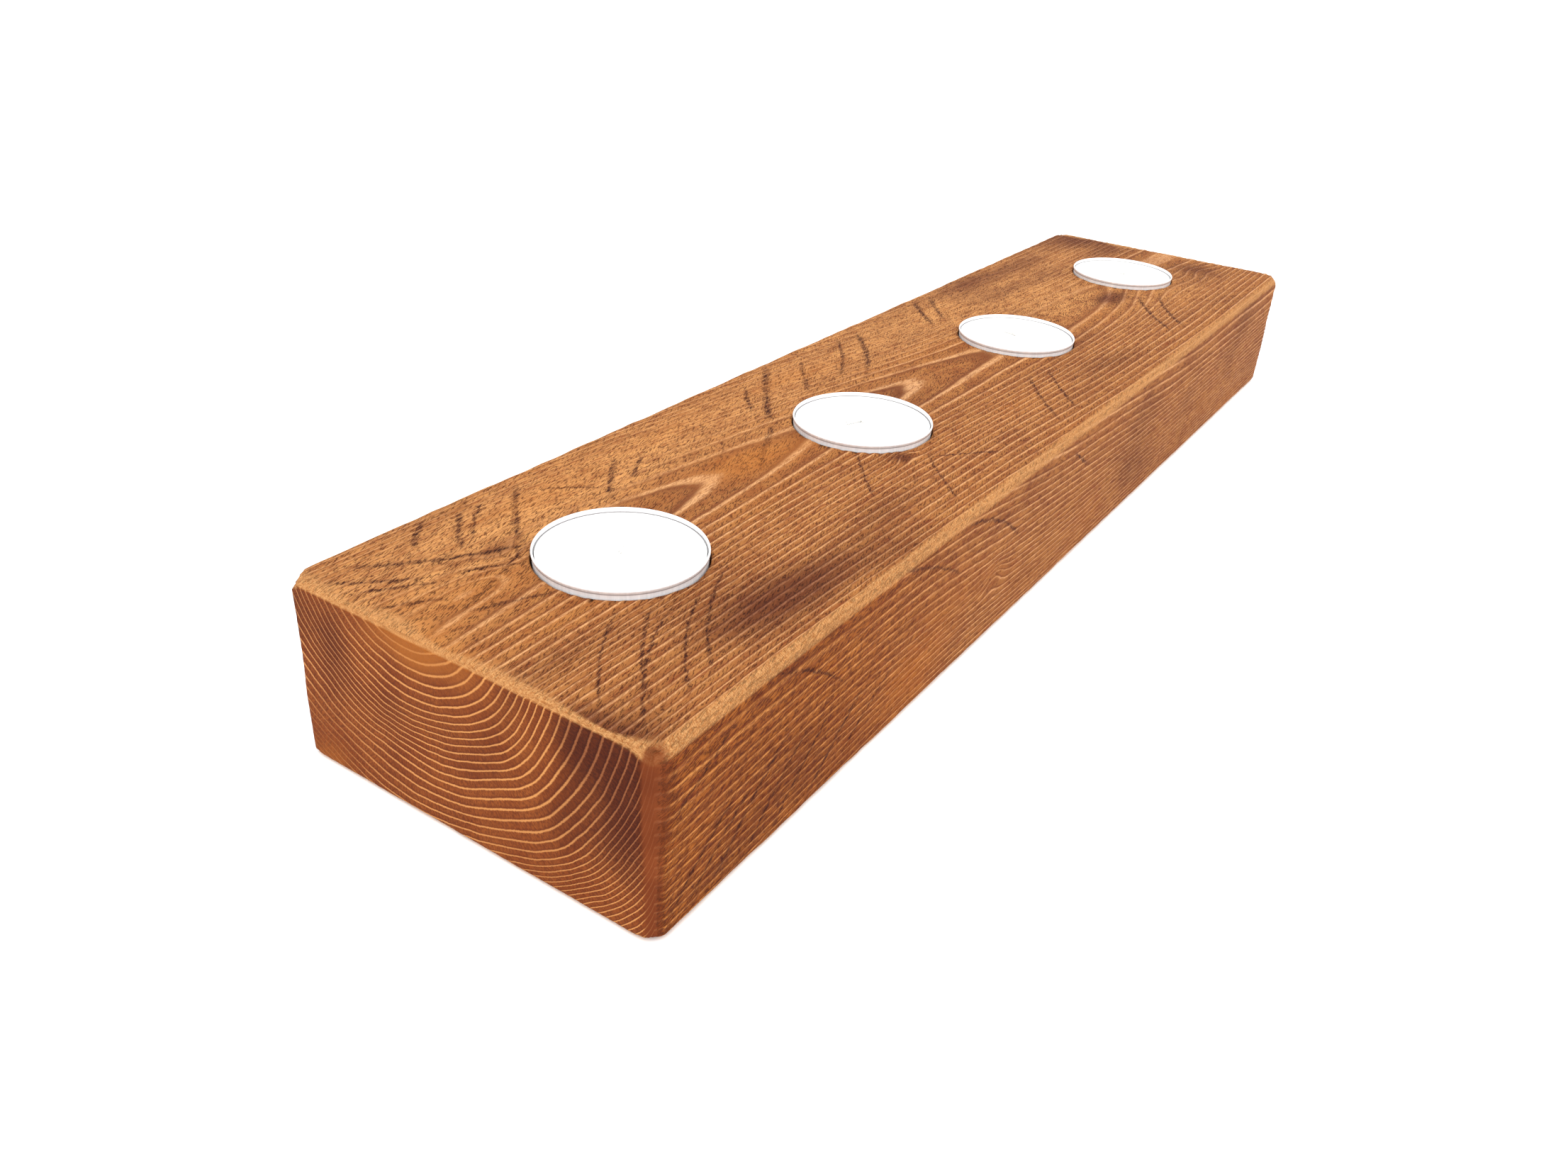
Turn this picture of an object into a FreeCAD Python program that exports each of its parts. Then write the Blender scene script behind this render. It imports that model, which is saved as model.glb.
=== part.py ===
import FreeCAD, Part
import math
import operator
import os

import Sketcher
from FreeCAD import Placement, Rotation, Vector

# A tealight holder: a stained softwood block with four blind round pockets, and a tealight in each.
# All sizes are in millimetres.  The origin is the middle of the block's underside, +X runs along
# the block, +Y across it and +Z up.

DRIVING_SIZES = {
    # The block is a length of sawn 100 x 50 timber, with its edges broken by hand.
    "block_length": 400.0,
    "block_width": 97.0,
    "block_height": 44.0,
    "top_break_across": 1.8,
    "top_break_down": 2.6,
    "bottom_break": 1.6,
    "corner_break": 2.2,
    "end_break": 1.2,
    # The pockets are drilled by eye, so each centre has its own place.
    "pocket_bore": 38.6,
    "pocket_depth": 14.0,
    "pocket_mouth_break": 0.3,
    "spur_bore": 3.0,
    "spur_depth": 1.2,
    "pocket_1_along": -150.2,
    "pocket_1_across": 1.3,
    "pocket_2_along": -52.1,
    "pocket_2_across": -0.3,
    "pocket_3_along": 47.7,
    "pocket_3_across": -0.4,
    "pocket_4_along": 150.7,
    "pocket_4_across": 0.8,
    # Tealight cup, drawn from one sheet: a wall that leans out a little, a rolled rim and a floor
    # whose middle is raised, so that the cup stands on a ring.
    "cup_height": 16.0,
    "cup_sheet": 0.25,
    "cup_base_radius": 18.3,
    "cup_wall_radius": 18.6,
    "cup_base_round": 0.6,
    "rim_radius": 19.0,
    "rim_height": 1.0,
    "rim_round": 0.25,
    "floor_panel_radius": 14.0,
    "floor_panel_rise": 0.4,
    # Wax fill, loose in its cup, with an edge that climbs the wall.
    "wax_gap": 0.12,
    "wax_below_rim": 1.4,
    "wax_edge_rise": 0.35,
    "wax_edge_width": 1.1,
    # Wick and the steel sustainer that holds its foot.
    "wick_bore": 1.3,
    "wick_clear_rise": 0.1,
    "wick_bend_radius": 0.9,
    "wick_bend_turn": 93.0,
    "wick_lying_length": 5.0,
    "sustainer_radius": 6.5,
    "sustainer_sheet": 0.25,
    "neck_radius": 1.15,
    "neck_height": 4.0,
    # Which way each wick lies, counted from +X towards +Y.
    "wick_1_heading": 35.0,
    "wick_2_heading": 160.0,
    "wick_3_heading": 80.0,
    "wick_4_heading": 290.0,
}
TEALIGHTS = (1, 2, 3, 4)
TOLERANCE = 1e-5


class Size:
    """A number together with the sheet formula that gives it."""

    def __init__(self, value, formula):
        self.value = value
        self.formula = formula

    def combined(self, sign, work, other):
        if not isinstance(other, Size):
            other = Size(other, str(other))
        return Size(work(self.value, other.value), f"({self.formula} {sign} {other.formula})")

    def __add__(self, other):
        return self.combined("+", operator.add, other)

    def __sub__(self, other):
        return self.combined("-", operator.sub, other)

    def __mul__(self, other):
        return self.combined("*", operator.mul, other)

    def __truediv__(self, other):
        return self.combined("/", operator.truediv, other)


def size(name):
    return Size(DRIVING_SIZES[name], f"sizes.{name}")


ZERO = Size(0.0, "0")


def fill_sheet(document):
    """The spreadsheet that holds every driving size, one alias to a row."""
    sheet = document.addObject("Spreadsheet::Sheet", "sizes")
    for row, (name, value) in enumerate(DRIVING_SIZES.items(), start=1):
        sheet.set(f"A{row}", name)
        sheet.set(f"B{row}", str(value))
        sheet.setAlias(f"B{row}", name)
    document.recompute()


def new_body(document, label):
    body = document.addObject("PartDesign::Body", label)
    body.Label = label
    return body


def place_body(body, along, across, up, heading=None):
    """Stand a body at a bound place, and turn it about +Z by a bound heading."""
    turn = heading.value if heading else 0.0
    spot = Vector(along.value, across.value, up.value)
    body.Placement = Placement(spot, Rotation(Vector(0, 0, 1), turn))
    for axis, distance in zip("xyz", (along, across, up)):
        body.setExpression(f"Placement.Base.{axis}", distance.formula)
    if heading:
        body.setExpression("Placement.Rotation.Angle", heading.formula)


def new_sketch(body, name, plane_role, height=ZERO):
    """An empty sketch on one of the body's own origin planes, or a bound height above it."""
    planes = [item for item in body.Origin.OriginFeatures if item.Role == plane_role]
    sketch = body.newObject("Sketcher::SketchObject", name)
    sketch.AttachmentSupport = [(planes[0], "")]
    sketch.MapMode = "FlatFace"
    sketch.AttachmentOffset = Placement(Vector(0, 0, height.value), Rotation())
    sketch.setExpression("AttachmentOffset.Base.z", height.formula)
    return sketch


def bind_constraint(sketch, kind, targets, amount):
    """Add one dimension to a sketch and bind it to the sheet."""
    index = sketch.addConstraint(Sketcher.Constraint(kind, *targets, amount.value))
    sketch.setExpression(f"Constraints[{index}]", amount.formula)


def bind_point(sketch, geometry, point, across, up):
    """Tie a point of the sketch to its distances from the sketch's own origin."""
    bind_constraint(sketch, "DistanceX", (-1, 1, geometry, point), across)
    bind_constraint(sketch, "DistanceY", (-1, 1, geometry, point), up)


def draw_outline(sketch, corners):
    """A closed run of straight lines through the corners, each a pair of sizes."""
    places = [Vector(across.value, up.value, 0) for across, up in corners]
    for index, place in enumerate(places):
        sketch.addGeometry(Part.LineSegment(place, places[(index + 1) % len(places)]))
    for index, (across, up) in enumerate(corners):
        before = (index - 1) % len(corners)
        sketch.addConstraint(Sketcher.Constraint("Coincident", before, 2, index, 1))
        bind_point(sketch, index, 1, across, up)


def draw_circles(sketch, centres, bore):
    """Equal circles, each with a bound centre."""
    for index, (along, across) in enumerate(centres):
        centre = Vector(along.value, across.value, 0)
        sketch.addGeometry(Part.Circle(centre, Vector(0, 0, 1), bore.value / 2))
        bind_constraint(sketch, "Diameter", (index,), bore)
        bind_point(sketch, index, 3, along, across)


def extrude(body, name, sketch, length):
    """Pad the sketch by the same amount to each side of its plane."""
    pad = body.newObject("PartDesign::Pad", name)
    pad.Profile = sketch
    pad.SideType = "Symmetric"
    pad.setExpression("Length", length.formula)
    return pad


def revolve(body, name, sketch):
    """Turn the sketch once round its vertical axis."""
    turned = body.newObject("PartDesign::Revolution", name)
    turned.Profile = sketch
    turned.ReferenceAxis = (sketch, ["V_Axis"])
    turned.Angle = 360.0
    return turned


def drill(body, name, sketch, bore, depth, point):
    """Blind holes at the sketch's circles, checked to have taken material away."""
    body.Document.recompute()
    volume_before = body.Shape.Volume
    hole = body.newObject("PartDesign::Hole", name)
    hole.Profile = sketch
    body.Document.recompute()
    hole.DepthType = "Dimension"
    hole.DrillPoint = point
    hole.DrillForDepth = True
    hole.setExpression("Diameter", bore.formula)
    hole.setExpression("Depth", depth.formula)
    body.Document.recompute()
    if body.Shape.Volume >= volume_before:
        raise RuntimeError(f"{name} cut nothing")
    return hole


def edge_names(shape, wanted):
    return [f"Edge{number}" for number, edge in enumerate(shape.Edges, start=1) if wanted(edge)]


def treat_edges(body, kind, name, amount_name, amount, wanted):
    """A Chamfer or Fillet on every edge of the body's newest feature that passes the test."""
    body.Document.recompute()
    base = body.Tip
    treated = body.newObject(f"PartDesign::{kind}", name)
    treated.Base = (base, edge_names(base.Shape, wanted))
    treated.setExpression(amount_name, amount.formula)
    body.Document.recompute()
    return treated


def same(one, other):
    return abs(one - other) < TOLERANCE


def is_on_end_face(edge, half_length):
    return same(abs(edge.CenterOfMass.x), half_length)


def is_upright(edge):
    first, last = edge.Vertexes
    return same(first.X, last.X) and same(first.Y, last.Y)


def is_level(edge, height):
    return all(same(vertex.Z, height) for vertex in edge.Vertexes)


def is_circle(edge, radius):
    return isinstance(edge.Curve, Part.Circle) and same(edge.Curve.Radius, radius)


def pocket_centres():
    return [(size(f"pocket_{number}_along"), size(f"pocket_{number}_across")) for number in TEALIGHTS]


def block_section():
    """The block's cross-section: square below, with a steeper break on each top edge."""
    side = size("block_width") / 2
    top = size("block_height")
    top_in = side - size("top_break_across")
    top_down = top - size("top_break_down")
    low = size("bottom_break")
    low_in = side - low
    right_half = [(low_in, ZERO), (side, low), (side, top_down), (top_in, top)]
    left_half = [(across * -1, up) for across, up in reversed(right_half)]
    return right_half + left_half


def make_block(document):
    body = new_body(document, "timber_block")
    section = new_sketch(body, "block_section", "YZ_Plane")
    draw_outline(section, block_section())
    extrude(body, "block_length_pad", section, size("block_length"))

    half_length = DRIVING_SIZES["block_length"] / 2
    height = DRIVING_SIZES["block_height"]

    def is_upright_end_edge(edge):
        return is_on_end_face(edge, half_length) and is_upright(edge)

    def is_level_end_edge(edge):
        return is_on_end_face(edge, half_length) and (is_level(edge, height) or is_level(edge, 0.0))

    treat_edges(body, "Chamfer", "corner_breaks", "Size", size("corner_break"), is_upright_end_edge)
    treat_edges(body, "Chamfer", "end_breaks", "Size", size("end_break"), is_level_end_edge)

    pocket_sketch = new_sketch(body, "pocket_circles", "XY_Plane", size("block_height"))
    draw_circles(pocket_sketch, pocket_centres(), size("pocket_bore"))
    drill(body, "pockets", pocket_sketch, size("pocket_bore"), size("pocket_depth"), "Flat")

    spur_sketch = new_sketch(body, "spur_circles", "XY_Plane", pocket_floor())
    draw_circles(spur_sketch, pocket_centres(), size("spur_bore"))
    drill(body, "drill_spur_marks", spur_sketch, size("spur_bore"), size("spur_depth"), "Angled")

    def is_pocket_mouth(edge):
        return is_circle(edge, DRIVING_SIZES["pocket_bore"] / 2) and is_level(edge, height)

    treat_edges(body, "Chamfer", "pocket_mouths", "Size", size("pocket_mouth_break"), is_pocket_mouth)
    return body


def pocket_floor():
    return size("block_height") - size("pocket_depth")


def wax_top():
    """Height of the wax surface above the cup's foot."""
    return size("cup_height") - size("wax_below_rim")


def sustainer_base():
    """Height of the raised floor panel's upper face, on which the sustainer stands."""
    return size("floor_panel_rise") + size("cup_sheet")


def make_cup(document, number):
    body = new_body(document, f"cup_{number}")
    sheet = size("cup_sheet")
    rim_under = size("cup_height") - size("rim_height")
    panel = size("floor_panel_radius")
    corners = [
        (ZERO, size("floor_panel_rise")),
        (panel, size("floor_panel_rise")),
        (panel, ZERO),
        (size("cup_base_radius"), ZERO),
        (size("cup_wall_radius"), rim_under),
        (size("rim_radius"), rim_under),
        (size("rim_radius"), size("cup_height")),
        (size("cup_wall_radius") - sheet, size("cup_height")),
        (size("cup_base_radius") - sheet, sheet),
        (panel + sheet, sheet),
        (panel + sheet, sustainer_base()),
        (ZERO, sustainer_base()),
    ]
    section = new_sketch(body, f"cup_section_{number}", "XZ_Plane")
    draw_outline(section, corners)
    revolve(body, f"cup_turned_{number}", section)

    def is_foot(edge):
        return is_circle(edge, DRIVING_SIZES["cup_base_radius"]) and is_level(edge, 0.0)

    def is_rim(edge):
        return is_circle(edge, DRIVING_SIZES["rim_radius"])

    treat_edges(body, "Fillet", f"cup_foot_{number}", "Radius", size("cup_base_round"), is_foot)
    treat_edges(body, "Fillet", f"cup_rim_{number}", "Radius", size("rim_round"), is_rim)
    return body


def make_wax(document, number):
    body = new_body(document, f"wax_{number}")
    shrink = size("cup_sheet") + size("wax_gap")
    base_radius = size("cup_base_radius") - shrink
    top_radius = size("cup_wall_radius") - shrink
    panel = size("floor_panel_radius") + size("cup_sheet") + size("wax_gap")
    wick_radius = size("wick_bore") / 2
    disc_top = sustainer_base() + size("sustainer_sheet")
    neck_top = sustainer_base() + size("neck_height")
    corners = [
        (wick_radius, neck_top),
        (size("neck_radius"), neck_top),
        (size("neck_radius"), disc_top),
        (size("sustainer_radius"), disc_top),
        (size("sustainer_radius"), sustainer_base()),
        (panel, sustainer_base()),
        (panel, size("cup_sheet")),
        (base_radius, size("cup_sheet")),
        (top_radius, wax_top() + size("wax_edge_rise")),
        (top_radius - size("wax_edge_width"), wax_top()),
        (wick_radius, wax_top()),
    ]
    section = new_sketch(body, f"wax_section_{number}", "XZ_Plane")
    draw_outline(section, corners)
    revolve(body, f"wax_cast_{number}", section)
    return body


def make_sustainer(document, number):
    body = new_body(document, f"sustainer_{number}")
    wick_radius = size("wick_bore") / 2
    corners = [
        (wick_radius, ZERO),
        (size("sustainer_radius"), ZERO),
        (size("sustainer_radius"), size("sustainer_sheet")),
        (size("neck_radius"), size("sustainer_sheet")),
        (size("neck_radius"), size("neck_height")),
        (wick_radius, size("neck_height")),
    ]
    section = new_sketch(body, f"sustainer_section_{number}", "XZ_Plane")
    draw_outline(section, corners)
    revolve(body, f"sustainer_pressed_{number}", section)
    return body


def draw_wick_path(sketch):
    """Straight up through the wax, over in a bend, then lying just above the surface."""
    rise = wax_top() - sustainer_base() + size("wick_clear_rise")
    radius = size("wick_bend_radius")
    turn = size("wick_bend_turn")
    lying = size("wick_lying_length")
    bend_centre = Vector(radius.value, rise.value, 0)
    heading = turned_over(Vector(0, 1, 0), turn.value)
    upright_end = Vector(0, rise.value, 0)
    bend_middle = bend_centre + turned_over(Vector(-radius.value, 0, 0), turn.value / 2)
    bend_end = bend_centre + turned_over(Vector(-radius.value, 0, 0), turn.value)
    upright = sketch.addGeometry(Part.LineSegment(Vector(0, 0, 0), upright_end))
    bend = sketch.addGeometry(Part.Arc(upright_end, bend_middle, bend_end))
    laid = sketch.addGeometry(Part.LineSegment(bend_end, bend_end + heading * lying.value))
    # An arc in a sketch runs anticlockwise, so this one's own end is where the wick enters it.
    sketch.addConstraint(Sketcher.Constraint("Coincident", -1, 1, upright, 1))
    sketch.addConstraint(Sketcher.Constraint("Vertical", upright))
    sketch.addConstraint(Sketcher.Constraint("Tangent", upright, 2, bend, 2))
    sketch.addConstraint(Sketcher.Constraint("Tangent", bend, 1, laid, 1))
    bind_constraint(sketch, "DistanceY", (upright, 1, upright, 2), rise)
    bind_constraint(sketch, "Radius", (bend,), radius)
    bind_constraint(sketch, "Distance", (laid,), lying)
    # The constraint is made in radians, and the formula that then drives it is in degrees.
    slope = Sketcher.Constraint("Angle", laid, math.radians(90.0 - turn.value))
    sketch.setExpression(f"Constraints[{sketch.addConstraint(slope)}]", f"90 - {turn.formula}")


def turned_over(direction, degrees):
    """A direction in the sketch, turned clockwise."""
    return Rotation(Vector(0, 0, 1), -degrees).multVec(direction)


def make_wick(document, number):
    body = new_body(document, f"wick_{number}")
    path = new_sketch(body, f"wick_path_{number}", "XZ_Plane")
    draw_wick_path(path)
    section = new_sketch(body, f"wick_section_{number}", "XY_Plane")
    draw_circles(section, [(ZERO, ZERO)], size("wick_bore"))
    cord = body.newObject("PartDesign::AdditivePipe", f"wick_cord_{number}")
    cord.Profile = section
    cord.Spine = path
    return body


def make_tealight(document, number):
    """One tealight, standing on the floor of its pocket."""
    along = size(f"pocket_{number}_along")
    across = size(f"pocket_{number}_across")
    heading = size(f"wick_{number}_heading")
    cup = make_cup(document, number)
    wax = make_wax(document, number)
    sustainer = make_sustainer(document, number)
    wick = make_wick(document, number)
    place_body(cup, along, across, pocket_floor())
    place_body(wax, along, across, pocket_floor())
    place_body(sustainer, along, across, pocket_floor() + sustainer_base())
    place_body(wick, along, across, pocket_floor() + sustainer_base(), heading)
    return [cup, wax, sustainer, wick]


def check_document(document, bodies):
    for item in document.Objects:
        if "Invalid" in item.State or "Error" in item.State:
            raise RuntimeError(f"{item.Name} failed: {item.State}")
        if item.TypeId == "Sketcher::SketchObject" and not item.FullyConstrained:
            raise RuntimeError(f"{item.Name} is not fully constrained")
    for body in bodies:
        if body.Shape.isNull() or not body.Shape.isValid() or len(body.Shape.Solids) != 1:
            raise RuntimeError(f"{body.Label} is not one valid solid")


def main():
    document = FreeCAD.newDocument("tealight_holder")
    fill_sheet(document)
    bodies = [make_block(document)]
    for number in TEALIGHTS:
        bodies += make_tealight(document, number)
    document.recompute()
    check_document(document, bodies)
    os.makedirs("parts", exist_ok=True)
    for body in bodies:
        body.Shape.exportStep(f"parts/{body.Label}.step")
        box = body.Shape.BoundBox
        print(f"{body.Label}: {body.Shape.Volume:.1f} mm3, z {box.ZMin:.2f} to {box.ZMax:.2f}")


main()
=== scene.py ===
"""Looks of the tealight holder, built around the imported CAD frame.

Blender works in metres.  Shapes and wood fields below are worked out in millimetres, in the same frame
as the CAD: the origin in the middle of the block's underside, +X along the block and +Z up.
"""

import math

import bmesh
import bpy
import numpy as np
from mathutils import Matrix, Vector


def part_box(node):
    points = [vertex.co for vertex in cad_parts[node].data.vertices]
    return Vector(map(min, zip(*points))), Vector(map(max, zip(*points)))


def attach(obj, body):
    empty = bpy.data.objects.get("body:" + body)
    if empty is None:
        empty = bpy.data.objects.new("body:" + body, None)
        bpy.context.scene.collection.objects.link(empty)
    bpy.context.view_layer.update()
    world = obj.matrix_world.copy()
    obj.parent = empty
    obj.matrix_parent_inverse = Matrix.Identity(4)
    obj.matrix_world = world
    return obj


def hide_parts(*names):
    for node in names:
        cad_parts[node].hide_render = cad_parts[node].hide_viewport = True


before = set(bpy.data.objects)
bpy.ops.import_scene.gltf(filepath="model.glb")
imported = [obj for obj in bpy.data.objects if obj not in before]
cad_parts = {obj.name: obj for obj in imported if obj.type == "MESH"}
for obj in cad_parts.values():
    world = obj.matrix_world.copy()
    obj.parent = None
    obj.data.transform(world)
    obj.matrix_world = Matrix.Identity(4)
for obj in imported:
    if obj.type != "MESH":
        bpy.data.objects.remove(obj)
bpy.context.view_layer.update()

MM = 0.001
TEALIGHTS = (1, 2, 3, 4)

# ---------------------------------------------------------------- sizes in millimetres

# Broken edges: how far each break reaches along x, y and z.
LONG_EDGE_BREAK = {"y_top": 1.9, "y_bottom": 1.6, "z_top": 2.6, "z_bottom": 1.6}
END_EDGE_BREAK = 1.2
CORNER_BREAK = 3.0
CORNER_REACH = 6.0
BREAK_ROUNDNESS = 1.3
OUTWARD_POWER = 0.7

# Lattice of the block's mesh: even steps along x, y and z, and closer rows over the breaks.
LATTICE_STEP = (2.1, 0.62, 0.62)
EDGE_ROWS = (0.0, 0.4, 0.8, 1.2, 1.7, 2.3, 3.0)
UNDERSIDE_GROUP = (3, 5)

POCKET_RADIUS = 19.15
POCKET_MOUTH_BREAK = 0.1
POCKET_MOUTH_DEPTH = 0.5
POCKET_SEGMENTS = 120
SPUR_RADIUS = 1.5
SPUR_DEPTH = 1.2

# How deep brushing has cut the soft wood between the ridges.
RELIEF = {"face": 0.14, "end": 0.05, "underside": 0.05, "end_break": 0.45}

# Torn fibre on the faces and on the bores' walls, and the deepest that either may reach.
FACE_ROUGHNESS = 0.05
BORE_ROUGHNESS = 0.06
DEEPEST_ROUGHNESS = 0.2

# The band that sanding has rubbed beside each end: its width, how uneven it is, and its growth with y.
RUBBED_WIDTH = 2.6
RUBBED_UNEVENNESS = 0.8
RUBBED_GROWTH = 0.018


def block_box():
    low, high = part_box("timber_block")
    return np.array(low) / MM, np.array(high) / MM


BLOCK_LOW, BLOCK_HIGH = block_box()
TOP = BLOCK_HIGH[2]


def middle_of(node):
    """Where a node's box is centred, in millimetres."""
    low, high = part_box(node)
    return np.array((low + high) / 2) / MM


POCKET_CENTRES = [middle_of(f"cup_{n}")[:2] for n in TEALIGHTS]
POCKET_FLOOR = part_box("cup_1")[0].z / MM


# ---------------------------------------------------------------- number fields


def smooth_step(value, low, high):
    t = np.clip((value - low) / (high - low), 0.0, 1.0)
    return t * t * (3.0 - 2.0 * t)


def waves(points, wavelength, seed, count=12):
    """A smooth random field of about unit size: plane waves of random direction, length and phase."""
    rng = np.random.default_rng(seed)
    scaled = points / np.asarray(wavelength)
    total = np.zeros(len(points))
    for _ in range(count):
        direction = rng.normal(size=scaled.shape[1])
        direction *= rng.uniform(0.6, 1.6) / np.linalg.norm(direction)
        total += np.sin(2.0 * math.pi * (scaled @ direction + rng.uniform()))
    return total * math.sqrt(2.0 / count)


def spots(points, places):
    """Adds up soft-edged spots, each with a height, a centre and a reach along each axis."""
    total = np.zeros(len(points))
    for height, centre, reach in places:
        offset = (points - np.array(centre)) / np.array(reach)
        total += height * np.exp(-(offset**2).sum(axis=1))
    return total


# ---------------------------------------------------------------- the wood's growth rings

# The pith runs above the top face and crosses over towards -Y.  It climbs along the block, and more slowly
# past the place where it levels.
PITH_SWING_MIDDLE = -30.0
PITH_SWING_LENGTH = 85.0
PITH_ACROSS = 5.0
PITH_SWING = 7.3
PITH_ABOVE_TOP = 12.35
PITH_CLIMB = 0.0545
PITH_LEVELS_AT = 22.0
PITH_LEVELLING = 15.0
PITH_LEVEL_LOSS = 0.043
FIRST_RING = 17.5

# Rings lie about 2 mm apart, swinging a little with the radius, and close up in the outer wood.
RING_SPACING = 1.95
RING_SPACING_SWING = 0.45
RING_SPACING_PERIOD = 28.0
RING_SPACING_WIDEST_AT = 20.0
TIGHT_SPACING = 1.1
TIGHT_FROM = 57.0
TIGHT_FULLY = 63.0

# Rings have a blunt corner at this angle round the pith: its angle, its width and how far it sticks out.
RING_CORNER_TURN = -0.75
RING_CORNER_WIDTH = 0.22
RING_CORNER_SHARE = 0.022

# Knots push the rings aside: height in rings, centre, and reach along each axis.
KNOTS = [
    (1.9, (146.0, -12.0, 44.0), (26.0, 12.0, 20.0)),
    (1.2, (182.0, -20.0, 44.0), (10.0, 7.0, 14.0)),
    (1.5, (-166.0, 21.0, 44.0), (7.0, 4.0, 10.0)),
    (-1.1, (-182.0, 14.5, 44.0), (8.0, 3.5, 5.0)),
    (1.2, (-63.0, -19.5, 44.0), (4.0, 2.4, 6.0)),
    (1.6, (-62.0, -48.5, 18.0), (6.0, 8.0, 4.0)),
    (1.4, (96.0, 48.5, 20.0), (8.0, 8.0, 5.0)),
]


def ring_count_table():
    """How many rings there are from the pith out to each radius."""
    radius = np.linspace(0.0, 140.0, 2801)
    swing = np.cos(2.0 * math.pi * (radius - RING_SPACING_WIDEST_AT) / RING_SPACING_PERIOD)
    spacing = RING_SPACING + RING_SPACING_SWING * swing
    spacing += (TIGHT_SPACING - spacing) * smooth_step(radius, TIGHT_FROM, TIGHT_FULLY)
    steps = np.diff(radius) * 0.5 * (1.0 / spacing[1:] + 1.0 / spacing[:-1])
    return radius, np.concatenate(([0.0], np.cumsum(steps)))


RING_RADII, RING_COUNTS = ring_count_table()


def grain(points):
    """Each point's place in the tree: its radius from the pith, its angle round it, and its ring number."""
    x, y, z = points.T
    pith_y = PITH_ACROSS - PITH_SWING * np.tanh((x - PITH_SWING_MIDDLE) / PITH_SWING_LENGTH)
    levelled = PITH_LEVELLING * np.logaddexp(0.0, (x - PITH_LEVELS_AT) / PITH_LEVELLING)
    pith_z = TOP + PITH_ABOVE_TOP + PITH_CLIMB * (x - BLOCK_LOW[0]) - PITH_LEVEL_LOSS * levelled
    across = y - pith_y + 0.22 * waves(points, (120.0, 22.0, 22.0), 11)
    down = pith_z - z + 0.22 * waves(points, (120.0, 22.0, 22.0), 12)
    radius = np.hypot(across, down)
    angle = np.arctan2(across, down)
    corner = np.exp(-(((angle - RING_CORNER_TURN) / RING_CORNER_WIDTH) ** 2))
    true_radius = radius * (1.0 - RING_CORNER_SHARE * corner) + 0.05 * waves(points, (45.0, 6.0, 6.0), 13)
    number = np.interp(true_radius, RING_RADII, RING_COUNTS)
    number -= np.interp(FIRST_RING, RING_RADII, RING_COUNTS)
    number += spots(points, KNOTS)
    return radius, angle, number


# ---------------------------------------------------------------- the block's mesh


def side_places(axis):
    """Lattice places along one axis: close rows over the broken edges and even steps between."""
    low, high = BLOCK_LOW[axis], BLOCK_HIGH[axis]
    rows = np.array(EDGE_ROWS)
    inner = high - low - 2.0 * rows[-1]
    count = max(1, round(inner / LATTICE_STEP[axis]))
    between = np.linspace(low + rows[-1], high - rows[-1], count + 1)
    return np.concatenate((low + rows[:-1], between, high - rows[-2::-1]))


def group_borders(count, group):
    """Cell borders with the edge rows kept and the cells between them taken several at a time."""
    edge = len(EDGE_ROWS) - 1
    inner = list(range(edge, count - edge, group))
    if inner[-1] != count - 1 - edge:
        inner.append(count - 1 - edge)
    return list(range(edge)) + inner + list(range(count - edge, count))


def grouped_faces(sheet):
    """Large cells over a sheet of vertex numbers, which meet every vertex on the sheet's own outline."""
    last_i, last_j = sheet.shape[0] - 1, sheet.shape[1] - 1
    i_borders = group_borders(sheet.shape[0], UNDERSIDE_GROUP[0])
    j_borders = group_borders(sheet.shape[1], UNDERSIDE_GROUP[1])
    faces = []
    for i0, i1 in zip(i_borders, i_borders[1:]):
        for j0, j1 in zip(j_borders, j_borders[1:]):
            loop = [(i, j0) for i in range(i0, i1) if i == i0 or j0 == 0]
            loop += [(i1, j) for j in range(j0, j1) if j == j0 or i1 == last_i]
            loop += [(i, j1) for i in range(i1, i0, -1) if i == i1 or j1 == last_j]
            loop += [(i0, j) for j in range(j1, j0, -1) if j == j1 or i0 == 0]
            faces.append([int(sheet[i, j]) for i, j in loop])
    return faces


def quads(sheet):
    corners = (sheet[:-1, :-1], sheet[1:, :-1], sheet[1:, 1:], sheet[:-1, 1:])
    return np.stack([c.ravel() for c in corners], axis=1)


def block_lattice():
    """Points and faces of the plain box, open where the pockets go and coarser underneath."""
    places = [side_places(axis) for axis in range(3)]
    shape = tuple(len(p) for p in places)
    outside = np.zeros(shape, bool)
    for axis in range(3):
        ends = [slice(None)] * 3
        ends[axis] = [0, -1]
        outside[tuple(ends)] = True
    number = np.full(shape, -1)
    number[outside] = np.arange(outside.sum())
    where = np.argwhere(outside)
    points = np.stack([places[axis][where[:, axis]] for axis in range(3)], axis=1)

    top = quads(number[:, :, -1])
    centres = points[top].mean(axis=1)[:, :2]
    for pocket in POCKET_CENTRES:
        clear = np.linalg.norm(centres - pocket, axis=1) > POCKET_RADIUS + POCKET_MOUTH_BREAK + 0.9
        top = top[clear]
        centres = centres[clear]
    walls = [quads(number[0]), quads(number[-1]), quads(number[:, 0]), quads(number[:, -1])]
    faces = np.concatenate([top] + walls).tolist() + grouped_faces(number[:, :, 0])

    used = np.unique(np.concatenate([np.array(f) for f in faces]))
    renumber = np.full(len(points), -1)
    renumber[used] = np.arange(len(used))
    faces = [renumber[f].tolist() for f in faces]
    return points[used], faces


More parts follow.
